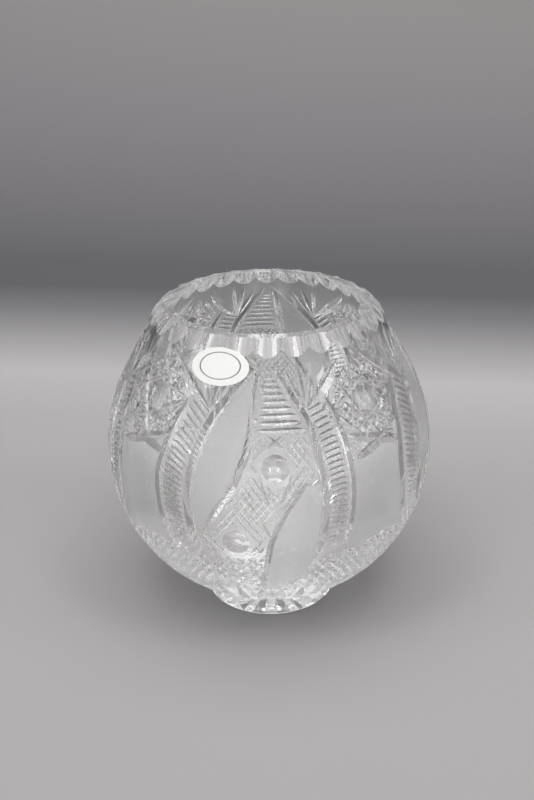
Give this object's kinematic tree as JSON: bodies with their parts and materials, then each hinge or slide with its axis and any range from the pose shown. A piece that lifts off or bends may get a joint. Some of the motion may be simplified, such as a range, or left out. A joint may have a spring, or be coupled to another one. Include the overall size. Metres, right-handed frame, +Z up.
{
  "type": "rose bowl vase",
  "caption": "Round cut-crystal rose bowl vase with a fluted rim, curved mitre cuts, ladder bands, dished bull's-eyes and a short star-cut foot; holds cut flowers in water.",
  "frame": {"origin": "middle of the foot's underside, on the surface the vase stands on", "axes": "+Z up along the bowl's axis; -Y is the front, the side the picture shows"},
  "size_m": [0.159, 0.159, 0.155],
  "materials": {
    "lead_crystal": "blown, cut and acid-polished clear lead crystal with satin matt cut panels",
    "clear_adhesive": "thin clear adhesive film",
    "label_paper": "smooth white coated paper"
  },
  "bodies": {
    "root": {"crystal_bowl": "lead_crystal", "crystal_foot": "lead_crystal", "label_adhesive": "clear_adhesive", "label_paper": "label_paper"}
  },
  "joints": []
}
